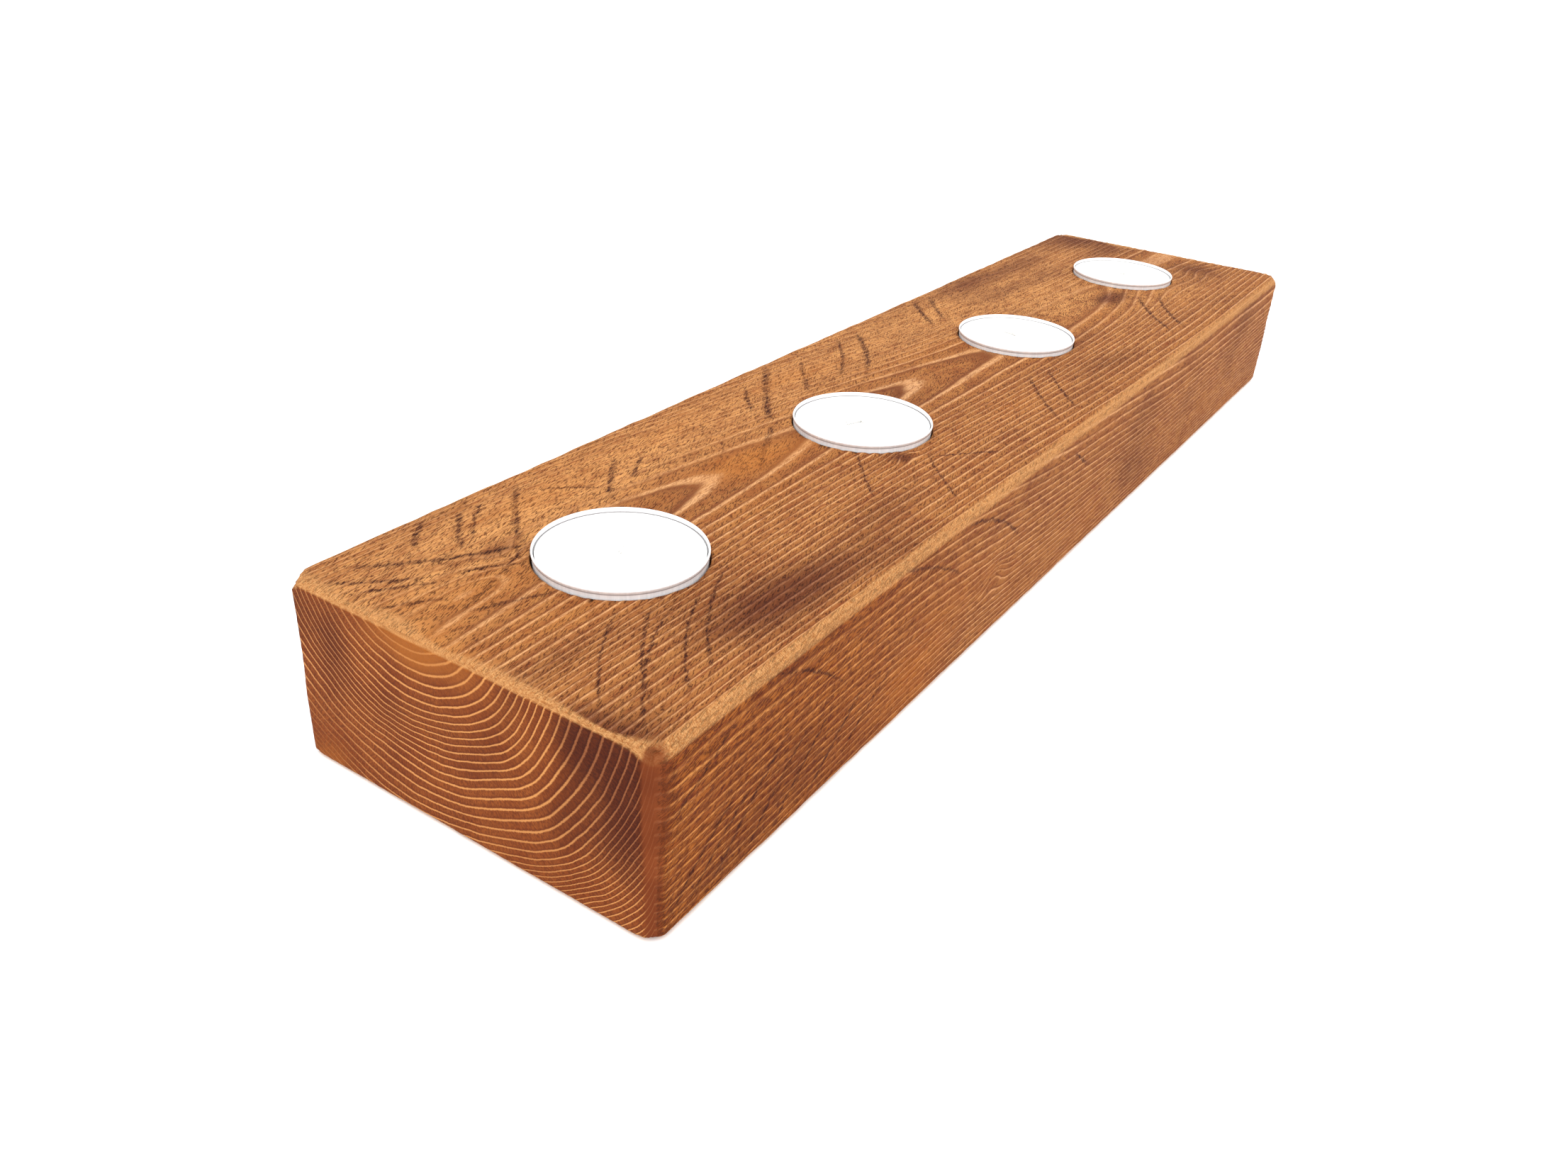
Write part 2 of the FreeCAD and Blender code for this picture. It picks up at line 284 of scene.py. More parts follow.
def pocket_profile():
    """Radius and height of each ring of a pocket's surface, from its mouth down to the spur mark."""
    wall = np.linspace(TOP - 1.0, POCKET_FLOOR + 0.5, 8)
    rows = [(POCKET_RADIUS + POCKET_MOUTH_BREAK, TOP), (POCKET_RADIUS, TOP - POCKET_MOUTH_DEPTH)]
    rows += [(POCKET_RADIUS, z) for z in wall]
    rows += [(POCKET_RADIUS, POCKET_FLOOR + 0.12), (POCKET_RADIUS - 0.12, POCKET_FLOOR)]
    rows += [(r, POCKET_FLOOR) for r in (19.0, 18.2, 16.8, 14.0, 10.0, 6.0, 3.2, SPUR_RADIUS + 0.1)]
    rows += [(SPUR_RADIUS, POCKET_FLOOR - 0.1), (SPUR_RADIUS * 0.5, POCKET_FLOOR - SPUR_DEPTH * 0.55)]
    return rows


def add_pocket(mesh_work, centre):
    """Joins the open lattice round a pocket to its mouth and carries its surface down to its floor."""
    rings = []
    for radius, height in pocket_profile():
        ring = []
        for k in range(POCKET_SEGMENTS):
            turn = 2.0 * math.pi * k / POCKET_SEGMENTS
            x = centre[0] + radius * math.cos(turn)
            y = centre[1] + radius * math.sin(turn)
            ring.append(mesh_work.verts.new((x, y, height)))
        rings.append(ring)
    mouth = [mesh_work.edges.new((a, b)) for a, b in zip(rings[0], rings[0][1:] + rings[0][:1])]
    near = POCKET_RADIUS + 4.0
    lattice_rim = [
        edge
        for edge in mesh_work.edges
        if edge.is_boundary and (edge.verts[0].co.xy - Vector(centre)).length < near
    ]
    bmesh.ops.triangle_fill(mesh_work, use_beauty=True, edges=mouth + lattice_rim, normal=(0.0, 0.0, 1.0))
    for upper, lower in zip(rings, rings[1:]):
        for k in range(POCKET_SEGMENTS):
            after = (k + 1) % POCKET_SEGMENTS
            mesh_work.faces.new((upper[k], upper[after], lower[after], lower[k]))
    tip = mesh_work.verts.new((centre[0], centre[1], POCKET_FLOOR - SPUR_DEPTH))
    for k in range(POCKET_SEGMENTS):
        mesh_work.faces.new((rings[-1][k], rings[-1][(k + 1) % POCKET_SEGMENTS], tip))


def break_reach(points):
    """How far the broken edge near each point reaches along each axis, uneven as handwork leaves it."""
    x, y, z = points.T
    near_end = smooth_step(np.abs(x), BLOCK_HIGH[0] - CORNER_REACH, BLOCK_HIGH[0] - 1.0)
    near_side = smooth_step(np.abs(y), BLOCK_HIGH[1] - CORNER_REACH, BLOCK_HIGH[1] - 1.0)
    upper = smooth_step(z, TOP * 0.35, TOP * 0.65)
    long_y = LONG_EDGE_BREAK["y_bottom"] + (LONG_EDGE_BREAK["y_top"] - LONG_EDGE_BREAK["y_bottom"]) * upper
    long_z = LONG_EDGE_BREAK["z_bottom"] + (LONG_EDGE_BREAK["z_top"] - LONG_EDGE_BREAK["z_bottom"]) * upper
    reach_x = END_EDGE_BREAK + (CORNER_BREAK - END_EDGE_BREAK) * near_side
    reach_y = long_y + (CORNER_BREAK - long_y) * near_end
    reach_z = END_EDGE_BREAK + (long_z - END_EDGE_BREAK) * near_side
    corner = 1.0 + 0.5 * near_end * near_side * upper
    uneven = 1.0 + 0.02 * waves(points, (60.0, 24.0, 60.0), 21)
    uneven += 0.015 * waves(points, (9.0, 7.0, 14.0), 22)
    factor = np.clip(uneven, 0.7, 1.3) * corner
    return np.stack([reach_x, reach_y, reach_z], axis=1) * factor[:, None]


def break_edges(points):
    """Rounds the plain box's edges.  Gives the new points, outward directions, and place over each break."""
    reach = break_reach(points)
    middle = (BLOCK_LOW + BLOCK_HIGH) / 2.0
    half = (BLOCK_HIGH - BLOCK_LOW) / 2.0
    offset = points - middle
    core = np.clip(offset, -(half - reach), half - reach)
    excess = (offset - core) / reach
    size = (np.abs(excess) ** BREAK_ROUNDNESS).sum(axis=1) ** (1.0 / BREAK_ROUNDNESS)
    moved = middle + core + reach * excess / np.maximum(size, 1e-9)[:, None]
    outward = np.sign(excess) * np.abs(excess) ** OUTWARD_POWER / reach
    outward /= np.maximum(np.linalg.norm(outward, axis=1), 1e-9)[:, None]
    return moved, outward, np.abs(excess)


# ---------------------------------------------------------------- where stain, wear and ridges vary

# Dark purple-brown patches are negative and clear orange ones positive.
STAIN_PATCHES = [
    (-0.8, (-142.0, -38.0, 44.0), (32.0, 8.0, 8.0)),
    (-0.7, (-191.0, -41.0, 44.0), (9.0, 7.0, 8.0)),
    (-0.5, (30.0, -33.0, 44.0), (34.0, 9.0, 8.0)),
    (-0.4, (-165.0, -28.0, 44.0), (45.0, 16.0, 8.0)),
    (-0.5, (-100.0, -32.0, 44.0), (26.0, 9.0, 8.0)),
    (-0.9, (-165.0, 22.0, 44.0), (7.0, 4.0, 5.0)),
    (-1.5, (117.0, -8.0, 44.0), (12.0, 6.0, 9.0)),
    (-1.7, (-64.5, -19.7, 44.0), (2.6, 2.2, 4.0)),
    (-1.3, (190.0, 36.0, 44.0), (34.0, 22.0, 8.0)),
    (-0.6, (190.0, -32.0, 44.0), (26.0, 14.0, 8.0)),
    (-1.0, (95.0, 38.0, 44.0), (45.0, 14.0, 8.0)),
    (-0.8, (184.0, -20.0, 44.0), (9.0, 9.0, 9.0)),
    (0.7, (-178.0, 14.0, 44.0), (16.0, 5.0, 4.0)),
    (0.7, (-90.0, 8.0, 44.0), (34.0, 9.0, 8.0)),
    (0.6, (-110.0, 34.0, 44.0), (34.0, 10.0, 8.0)),
    (0.4, (-185.0, -8.0, 44.0), (20.0, 12.0, 8.0)),
    (-1.5, (-200.0, -38.0, 37.0), (5.0, 15.0, 11.0)),
    (-1.1, (-200.0, -44.0, 20.0), (5.0, 14.0, 13.0)),
    (-0.8, (-200.0, 38.0, 34.0), (5.0, 14.0, 12.0)),
    (0.6, (-200.0, 44.0, 4.0), (5.0, 16.0, 8.0)),
    (-0.3, (-200.0, 0.0, 22.0), (5.0, 40.0, 9.0)),
    (1.1, (-200.0, 8.0, 42.0), (5.0, 12.0, 5.0)),
    (-0.6, (-180.0, -48.5, 6.0), (30.0, 6.0, 9.0)),
    (0.5, (-80.0, -48.5, 18.0), (50.0, 6.0, 14.0)),
    (-0.6, (96.0, -48.5, 22.0), (12.0, 6.0, 12.0)),
]

# Light ridges are faint where this is positive, as on the +Y half of the top, and strong where it is
# negative, as in the tongues down the middle of the top.
FAINT_RIDGES = [
    (0.75, (-150.0, 30.0, 44.0), (90.0, 17.0, 6.0)),
    (0.75, (70.0, 34.0, 44.0), (130.0, 20.0, 6.0)),
    (0.6, (95.0, 6.0, 44.0), (36.0, 12.0, 6.0)),
    (0.4, (140.0, -20.0, 44.0), (40.0, 16.0, 6.0)),
    (0.85, (-200.0, 44.0, 6.0), (5.0, 18.0, 12.0)),
    (0.35, (-200.0, -20.0, 4.0), (5.0, 18.0, 9.0)),
    (0.45, (-200.0, 10.0, 44.0), (5.0, 10.0, 5.0)),
    (-0.7, (-112.0, 9.0, 44.0), (20.0, 8.0, 6.0)),
    (-0.5, (-20.0, 3.0, 44.0), (20.0, 8.0, 6.0)),
    (-0.5, (14.0, 3.0, 44.0), (22.0, 10.0, 6.0)),
    (-0.3, (-100.0, -5.0, 44.0), (60.0, 8.0, 6.0)),
]


def wood_fields(points, excess):
    """What the wood's shader reads at each point, by name."""
    radius, angle, number = grain(points)
    stain = spots(points, STAIN_PATCHES) + 0.22 * waves(points, (60.0, 22.0, 22.0), 31)
    ridge = 1.0 - spots(points, FAINT_RIDGES)
    over_x, over_y, over_z = excess.T
    level_break = np.maximum(np.minimum(over_x, over_z), np.minimum(over_y, over_z))
    return {
        "rings": number,
        "tree_radius": radius,
        "tree_turn": angle * 30.0,
        "stain": np.clip(stain, -1.6, 1.6),
        "ridge_strength": np.clip(ridge, 0.1, 1.7),
        "end_grain": smooth_step(over_x, 0.55, 1.0),
        "worn": np.maximum(smooth_step(level_break, 0.0, 0.15), rubbed_ends(points)),
        "corner": smooth_step(np.minimum(over_x, over_y), 0.02, 0.3),
    }


def rubbed_ends(points):
    """How much sanding has rubbed the top beside each end, in a band of uneven width."""
    from_end = BLOCK_HIGH[0] - np.abs(points[:, 0])
    width = RUBBED_WIDTH + RUBBED_UNEVENNESS * waves(points[:, 1:2], (22.0,), 35)
    width += RUBBED_GROWTH * points[:, 1]
    on_top = smooth_step(points[:, 2], TOP - 0.2, TOP - 0.05)
    return on_top * (1.0 - smooth_step(from_end, 0.6 * width, 1.3 * width))


def relief_depth(points, fields, underside):
    """How far below the ridges each point of the brushed surface lies."""
    end, worn = fields["end_grain"], fields["worn"]
    groove = 0.5 - 0.5 * np.cos(2.0 * math.pi * fields["rings"])
    uneven = np.clip(0.8 + 0.25 * waves(points, (45.0, 14.0, 14.0), 41), 0.2, 1.3)
    face_depth = RELIEF["face"] * (1.0 - underside) + RELIEF["underside"] * underside
    depth = face_depth + (RELIEF["end"] - face_depth) * end
    scallop = worn * smooth_step(end, 0.0, 0.5) * (1.0 - underside)
    depth = depth + (RELIEF["end_break"] - depth) * scallop
    rough = FACE_ROUGHNESS * (1.0 + waves(points, (8.0, 1.6, 1.6), 42)) * (1.0 - 0.6 * end)
    return np.maximum(groove * uneven * depth, 0.0) + np.clip(rough, 0.0, DEEPEST_ROUGHNESS)


def set_attributes(mesh, fields):
    for name, values in fields.items():
        attribute = mesh.attributes.new(name, "FLOAT", "POINT")
        attribute.data.foreach_set("value", np.asarray(values, np.float32))


def shade_smooth(mesh):
    mesh.polygons.foreach_set("use_smooth", [True] * len(mesh.polygons))


def make_block():
    points, faces = block_lattice()
    mesh = bpy.data.meshes.new("stained_timber")
    mesh.from_pydata(points.tolist(), [], faces)
    lattice_count = len(points)

    work = bmesh.new()
    work.from_mesh(mesh)
    for centre in POCKET_CENTRES:
        add_pocket(work, centre)
    bmesh.ops.recalc_face_normals(work, faces=work.faces)
    work.to_mesh(mesh)
    work.free()

    plain = np.empty(len(mesh.vertices) * 3)
    mesh.vertices.foreach_get("co", plain)
    plain = plain.reshape(-1, 3)
    in_pocket = np.arange(len(plain)) >= lattice_count
    mouth = in_pocket & (plain[:, 2] > TOP - 1e-4)

    moved, outward, excess = break_edges(plain)
    outward[mouth] = (0.0, 0.0, 1.0)
    fields = wood_fields(plain, excess)
    underside = 1.0 - smooth_step(plain[:, 2], 0.0, 1.5)
    depth = relief_depth(plain, fields, underside)
    depth[in_pocket & ~mouth] = 0.0
    moved[in_pocket] = plain[in_pocket]
    final = moved - outward * depth[:, None]
    final[in_pocket & ~mouth] = rough_bore(plain[in_pocket & ~mouth])

    for name in ("worn", "corner"):
        fields[name][in_pocket] = 0.0
    fields["drilled"] = (in_pocket & ~mouth).astype(float)
    mesh.vertices.foreach_set("co", (final * MM).ravel())
    set_attributes(mesh, fields)
    shade_smooth(mesh)
    mesh.update()
    return new_piece("stained_timber_block", mesh)


def rough_bore(points):
    """Pocket surfaces pushed a little into the wood, as a drill leaves them."""
    centres = np.array(POCKET_CENTRES)
    nearest = np.argmin(np.linalg.norm(points[:, None, :2] - centres[None], axis=2), axis=1)
    away = points[:, :2] - centres[nearest]
    distance = np.maximum(np.linalg.norm(away, axis=1), 1e-6)
    on_wall = smooth_step(distance, POCKET_RADIUS - 0.4, POCKET_RADIUS)
    tear = BORE_ROUGHNESS * (1.0 + waves(points, (3.0, 3.0, 5.0), 51)) * on_wall
    moved = points.copy()
    moved[:, :2] += away / distance[:, None] * np.clip(tear, 0.0, DEEPEST_ROUGHNESS)[:, None]
    return moved


def new_piece(name, mesh):
    piece = bpy.data.objects.new(name, mesh)
    bpy.context.scene.collection.objects.link(piece)
    return piece


# ---------------------------------------------------------------- shader building


def linear(red, green, blue):
    """A screen colour of 0 to 255 as the linear colour that a shader takes."""
    values = []
    for value in (red, green, blue):
        share = value / 255.0
        values.append(share / 12.92 if share <= 0.04045 else ((share + 0.055) / 1.055) ** 2.4)
    return (*values, 1.0)


class Shader:
    """A material with a Principled surface, and one short call for each kind of node."""

    def __init__(self, name):
        self.material = bpy.data.materials.new(name)
        self.material.use_nodes = True
        self.tree = self.material.node_tree
        self.surface = self.tree.nodes["Principled BSDF"]

    def feed(self, socket, value):
        if isinstance(value, bpy.types.NodeSocket):
            self.tree.links.new(value, socket)
        else:
            socket.default_value = value

    def node(self, kind, *values, **settings):
        made = self.tree.nodes.new(kind)
        for name, value in settings.items():
            setattr(made, name, value)
        for socket, value in zip(made.inputs, values):
            self.feed(socket, value)
        return made

    def math(self, operation, *values, clamp=False):
        return self.node("ShaderNodeMath", *values, operation=operation, use_clamp=clamp).outputs[0]

    def remap(self, value, low, high, start=0.0, end=1.0):
        made = self.node("ShaderNodeMapRange", value, low, high, start, end, interpolation_type="SMOOTHSTEP")
        return made.outputs[0]

    def mix(self, share, first, second, blend="MIX"):
        made = self.node("ShaderNodeMix", data_type="RGBA", blend_type=blend, clamp_factor=True)
        for index, value in ((0, share), (6, first), (7, second)):
            self.feed(made.inputs[index], value)
        return made.outputs[2]

    def number(self, name):
        return self.node("ShaderNodeAttribute", attribute_name=name).outputs["Fac"]

    def vector(self, x, y, z):
        return self.node("ShaderNodeCombineXYZ", x, y, z).outputs[0]

    def apart(self, first, second):
        return self.node("ShaderNodeVectorMath", first, second, operation="DISTANCE").outputs["Value"]

    def move(self, first, second):
        return self.node("ShaderNodeVectorMath", first, second, operation="ADD").outputs["Vector"]

    def stretch(self, vector, factors):
        return self.node("ShaderNodeVectorMath", vector, factors, operation="MULTIPLY").outputs["Vector"]

    def noise(self, vector, scale=1.0, detail=2.0, roughness=0.5, output=0):
        made = self.node("ShaderNodeTexNoise")
        fed = {"Vector": vector, "Scale": scale, "Detail": detail, "Roughness": roughness}
        for name, value in fed.items():
            self.feed(made.inputs[name], value)
        return made.outputs[output]

    def place(self):
        """The point's place on its object, in millimetres."""
        coordinates = self.node("ShaderNodeTexCoord").outputs["Object"]
        return self.stretch(coordinates, (1.0 / MM,) * 3)

    def bump(self, height, strength=1.0):
        """Feeds the surface's normal from a height in millimetres."""
        metres = self.math("MULTIPLY", height, MM)
        made = self.node("ShaderNodeBump")
        self.feed(made.inputs["Strength"], strength)
        self.feed(made.inputs["Distance"], 1.0)
        self.feed(made.inputs["Height"], metres)
        self.feed(self.surface.inputs["Normal"], made.outputs[0])

    def set(self, **values):
        for name, value in values.items():
            self.feed(self.surface.inputs[name.replace("_", " ")], value)


# ---------------------------------------------------------------- saw marks

# Arcs left by the saw: start, end, how far the arc bulges to the left of the line between them, and half
# width.  On the top the places are (x, y), and on the -Y side (x, z).
TOP_SAW_MARKS = [
    ((-170, 28), (-157, 42.5), 0.7, 1.1),
    ((-160, 21), (-139, 42.5), 0.9, 1.2),
    ((-165, 30), (-150, 42.5), 0.9, 0.7),
    ((-176, 36), (-166, 44.5), 0.6, 1.0),
    ((-132, 20), (-111, 36), 0.8, 1.1),
    ((-119, 24), (-106, 31.5), 0.5, 0.7),
    ((-138, 37), (-127, 26), 0.4, 0.7),
    ((-96, 3), (-68, 18), 0.5, 1.0),
    ((-68, 19), (-32, 45), 0.8, 1.5),
    ((-65, 27), (-50, 40), 0.5, 1.0),
    ((-42, 23), (-21, 40), 0.4, 1.1),
    ((-15, 20), (16, 43), -1.6, 1.3),
    ((-24, 24), (6, 44), -1.4, 0.8),
    ((40, 26), (60, 45), 0.4, 1.3),
    ((48, 26), (70, 44), 0.4, 1.1),
    ((-191, 41.5), (-157, 19), -2.0, 1.1),
    ((-197, 39), (-182, 25), -0.8, 1.0),
    ((-196, 31), (-182, 21.5), 0.4, 0.9),
    ((-198, 24), (-185, 15), 0.4, 0.8),
    ((-177, 22), (-165, 14), 0.4, 0.8),
    ((-187, 9), (-169, 0.5), 0.4, 0.8),
    ((-190, 9), (-157, 21), -0.5, 0.7),
    ((-197, -44), (-158, -19.5), 3.0, 0.6),
    ((-184, -44), (-150, -20.5), 2.5, 0.5),
    ((-176, -43), (-137, -18), 3.1, 0.6),
    ((-190, -40), (-160, -16), 2.4, 0.5),
    ((-196, -33), (-166, -12), 2.0, 0.5),
    ((-92, -28), (-68, -8), 0.6, 0.6),
    ((-78, -43), (-56, -22), 0.6, 0.6),
    ((-60, -24.5), (-43, -38.5), 0.7, 0.6),
    ((-12, -41), (18, -18), 0.9, 0.8),
    ((0, -42), (28, -20), 0.9, 0.7),
    ((92, -40), (128, -14), 2.0, 1.0),
    ((100, -42), (134, -20), 2.0, 0.9),
]
SIDE_SAW_MARKS = [
    ((-170, 43), (-136, 24), 2.7, 0.6),
    ((-120, 43), (-82, 27), 2.2, 0.6),
    ((-85, 41), (-48, 24), 3.3, 0.7),
    ((-16, 37), (-4, 30), 0.4, 0.7),
    ((-198, 3), (-174, 22), 0.8, 0.7),
    ((-191, 3), (-167, 21), 1.2, 0.6),
    ((-183, 3), (-157, 26), 1.0, 0.8),
    ((-172, 3), (-149, 23), 0.9, 0.6),
    ((-163, 3), (-141, 22), 0.4, 0.6),
    ((-150, 3), (-128, 20), 0.4, 0.7),
    ((-138, 4), (-113, 19), 1.2, 0.5),
    ((-196, 26), (-176, 38), 0.5, 0.5),
]


def arc_circle(start, end, bulge):
    """Centre, radius and middle of the arc from start to end that bulges to the left by that much."""
    chord = np.subtract(end, start)
    length = np.linalg.norm(chord)
    left = np.array((-chord[1], chord[0])) / length
    halfway = (np.array(start) + end) / 2.0
    radius = (length**2 / 4.0 + bulge**2) / (2.0 * abs(bulge))
    centre = halfway + left * (bulge - math.copysign(radius, bulge))
    return centre, radius, halfway + left * bulge


def saw_marks(shader, flat_place, arcs):
    """How strongly any of the arcs marks a point that is given as (along, up, 0)."""
    strongest = None
    for start, end, bulge, half_width in arcs:
        centre, radius, middle = arc_circle(start, end, bulge)
        reach = math.dist(start, end) / 2.0
        off_line = shader.math("SUBTRACT", shader.apart(flat_place, (*centre, 0.0)), radius)
        line = shader.remap(shader.math("ABSOLUTE", off_line), 0.1 * half_width, 1.1 * half_width, 1.0, 0.0)
        fade = shader.remap(shader.apart(flat_place, (*middle, 0.0)), 0.6 * reach, 1.05 * reach, 1.0, 0.0)
        mark = shader.math("MULTIPLY", line, fade)
        strongest = mark if strongest is None else shader.math("MAXIMUM", strongest, mark)
    return strongest


# ---------------------------------------------------------------- materials


# The stain's depth: every tone of the wood is multiplied by this.
WOOD_DEPTH = 0.83


def slanting_noise(shader, x, y, z):
    """Noise whose streaks lie aslant to the grain, as the saw left its tears."""
    across = shader.math("ADD", y, z)
    aslant = shader.vector(
        shader.math("MULTIPLY_ADD", across, 0.18, shader.math("MULTIPLY", x, 0.5)),
        shader.math("MULTIPLY_ADD", across, 2.9, shader.math("MULTIPLY", x, -1.1)),
        shader.math("MULTIPLY", shader.math("SUBTRACT", y, z), 0.8),
    )
    return shader.noise(aslant, detail=3.0, roughness=0.6)


def all_saw_marks(shader, place, on_top, on_side):
    """The saw's arcs on the top and on the -Y side, each line wandering a little."""
    wander = shader.noise(shader.stretch(place, (0.8, 0.8, 0.8)), detail=3.0, roughness=0.7, output=1)
    wander = shader.stretch(shader.move(wander, (-0.5, -0.5, -0.5)), (2.4, 2.4, 2.4))
    x, y, z = shader.node("ShaderNodeSeparateXYZ", shader.move(place, wander)).outputs
    top_marks = saw_marks(shader, shader.vector(x, y, 0.0), TOP_SAW_MARKS)
    side_marks = saw_marks(shader, shader.vector(x, z, 0.0), SIDE_SAW_MARKS)
    return shader.math(
        "MAXIMUM", shader.math("MULTIPLY", top_marks, on_top), shader.math("MULTIPLY", side_marks, on_side)
    )


def wood_material():
    shader = Shader("stained_softwood")
    place = shader.place()
    x, y, z = shader.node("ShaderNodeSeparateXYZ", place).outputs
    rings = shader.number("rings")
    end = shader.number("end_grain")
    not_end = shader.math("SUBTRACT", 1.0, end)
    worn = shader.number("worn")
    corner = shader.number("corner")
    stain = shader.number("stain")
    strength = shader.number("ridge_strength")
    drilled = shader.number("drilled")
    tree = shader.vector(shader.number("tree_radius"), shader.number("tree_turn"), x)

    # Noise drawn out along the grain: coarse streaks, fibres, and radial fuzz on the end.
    streak = shader.noise(shader.stretch(tree, (0.5, 0.5, 0.02)), detail=3.0)
    fibre = shader.noise(shader.stretch(tree, (2.6, 2.6, 0.22)), detail=3.0, roughness=0.65)
    fuzz = shader.noise(shader.stretch(tree, (1.1, 4.2, 4.0)), detail=3.0, roughness=0.7)
    cloud = shader.noise(shader.stretch(place, (0.035, 0.09, 0.09)), detail=3.0)
    tear = slanting_noise(shader, x, y, z)

    # Latewood ridges: thin light lines with a softer light band beside them.
    ragged = shader.math("MULTIPLY_ADD", shader.math("SUBTRACT", fuzz, 0.5), 0.16, rings)
    ragged = shader.math("MULTIPLY_ADD", shader.math("SUBTRACT", tear, 0.5), 0.14, ragged)
    from_ridge = shader.math("MULTIPLY", shader.math("PINGPONG", ragged, 0.5), 2.0)
    line = shader.remap(from_ridge, 0.05, 0.32, 1.0, 0.0)
    band = shader.remap(from_ridge, 0.2, 0.9, 1.0, 0.0)
    uneven = shader.remap(streak, 0.3, 0.62, 0.5, 1.1)
    uneven = shader.math("MULTIPLY", uneven, shader.remap(tear, 0.45, 0.66, 1.0, 0.45))
    uneven = shader.math("MAXIMUM", uneven, shader.math("MULTIPLY", end, 1.1))
    line = shader.math("MULTIPLY", line, shader.math("MULTIPLY", strength, uneven))
    groove = shader.math("MULTIPLY", shader.remap(from_ridge, 0.25, 0.6), not_end)

    # A thin painted shadow just inside each ridge, where the raised ridge would shade the groove beside it.
    share = shader.math("FRACT", ragged)
    rise = shader.remap(share, 0.6, 0.85)
    fall = shader.remap(share, 0.87, 0.95, 1.0, 0.0)
    ridge_shadow_strength = shader.math("MULTIPLY", shader.math("MINIMUM", strength, 1.0), 0.65)
    painted_ridge_shadow = shader.math("MULTIPLY", shader.math("MULTIPLY", rise, fall), ridge_shadow_strength)

    # The long face of the -Y side, counted in full by the near end and faintly along the rest.
    on_side = shader.math("LESS_THAN", y, float(BLOCK_LOW[1]) + 1.0)
    on_side_face = shader.math("MULTIPLY", on_side, not_end)
    near_side = shader.math("MULTIPLY", shader.remap(x, -150.0, -60.0, 1.0, 0.22), on_side_face)

    # Dark tears in the soft wood.
    plain_wood = shader.math("SUBTRACT", 1.0, strength, clamp=True)
    torn_here = shader.math("MULTIPLY_ADD", groove, 0.75, shader.math("MULTIPLY_ADD", plain_wood, 0.6, 0.25))
    torn_here = shader.math("MULTIPLY_ADD", near_side, 0.3, torn_here)
    more_torn = shader.math("MULTIPLY_ADD", near_side, 0.05, tear)
    torn = shader.math("MULTIPLY", shader.remap(more_torn, 0.52, 0.66), torn_here, clamp=True)
    torn = shader.math("MULTIPLY", torn, shader.remap(fuzz, 0.32, 0.6, 0.25, 1.1), clamp=True)

    # The saw's arcs, broken up by the grain that they cross.
    on_top = shader.math("GREATER_THAN", z, float(TOP) - 1.0)
    marks = all_saw_marks(shader, place, on_top, on_side)
    broken = shader.math("MULTIPLY_ADD", shader.remap(tear, 0.38, 0.58), 0.6, 0.3)
    broken = shader.math("MULTIPLY_ADD", groove, 0.3, broken)
    marks = shader.math("MULTIPLY", shader.math("MULTIPLY", marks, broken), not_end)

    # Colour of the soft wood and of the ridges, on the long faces and on the end.
    mottle = shader.noise(shader.stretch(place, (0.11, 0.3, 0.3)), detail=4.0, roughness=0.6)
    tone = shader.remap(cloud, 0.35, 0.65)
    face = shader.mix(tone, linear(150, 88, 44), linear(166, 102, 52))
    face = shader.mix(shader.remap(mottle, 0.35, 0.7, 0.0, 0.7), face, linear(194, 130, 70))
    pale_patch = shader.math("MULTIPLY", shader.remap(mottle, 0.3, 0.62, 0.35, 1.0), plain_wood)
    face = shader.mix(shader.math("MULTIPLY", pale_patch, 1.1, clamp=True), face, linear(232, 166, 100))
    face = shader.mix(shader.math("MULTIPLY", band, 0.3), face, linear(194, 132, 76))
    end_face = shader.mix(tone, linear(134, 64, 22), linear(152, 80, 32))
    end_face = shader.mix(shader.remap(fuzz, 0.4, 0.62, 0.0, 0.7), end_face, linear(98, 42, 14))
    field = shader.mix(end, face, end_face)
    # Painted shadow beside each ridge.
    field = shader.mix(painted_ridge_shadow, field, linear(96, 38, 16))
    ridge_colour = shader.mix(end, linear(232, 172, 116), linear(226, 154, 86))
    colour = shader.mix(shader.math("MULTIPLY", line, 0.85, clamp=True), field, ridge_colour)
    on_faces = shader.math("MULTIPLY", not_end, 0.8)
    dark_fibre = shader.math("MULTIPLY", shader.remap(fibre, 0.48, 0.72), on_faces)
    colour = shader.mix(dark_fibre, colour, linear(130, 58, 26))
    torn_share = shader.math("MULTIPLY", torn, shader.math("MULTIPLY", not_end, 0.85))
    colour = shader.mix(torn_share, colour, linear(100, 38, 18))
    colour = shader.mix(shader.math("MULTIPLY", marks, 0.85), colour, linear(78, 34, 20))
    darker = shader.mix(1.0, colour, linear(168, 146, 150), blend="MULTIPLY")
    colour = shader.mix(shader.remap(stain, 0.0, -1.5), colour, darker)
    colour = shader.mix(shader.remap(stain, 0.0, 1.5, 0.0, 0.45), colour, linear(200, 120, 46))

    # Painted shade: the -Y side is made darker and warmer, most of all towards the near end.
    side_painted_shade = shader.mix(1.0, colour, linear(240, 212, 158), blend="MULTIPLY")
    colour = shader.mix(near_side, colour, side_painted_shade)

    # Sanded edges: fuzzy and light along the level ones, smooth and red-brown down the corners.
    worn_colour = shader.mix(shader.remap(fuzz, 0.3, 0.7), linear(168, 104, 52), linear(232, 174, 112))
    colour = shader.mix(shader.math("MULTIPLY", worn, 0.8), colour, worn_colour)
    corner_colour = shader.mix(tone, linear(116, 52, 20), linear(132, 64, 28))
    colour = shader.mix(shader.math("MULTIPLY", corner, 0.85), colour, corner_colour)
    colour = shader.mix(shader.math("MULTIPLY", drilled, 0.6), colour, linear(110, 58, 30))

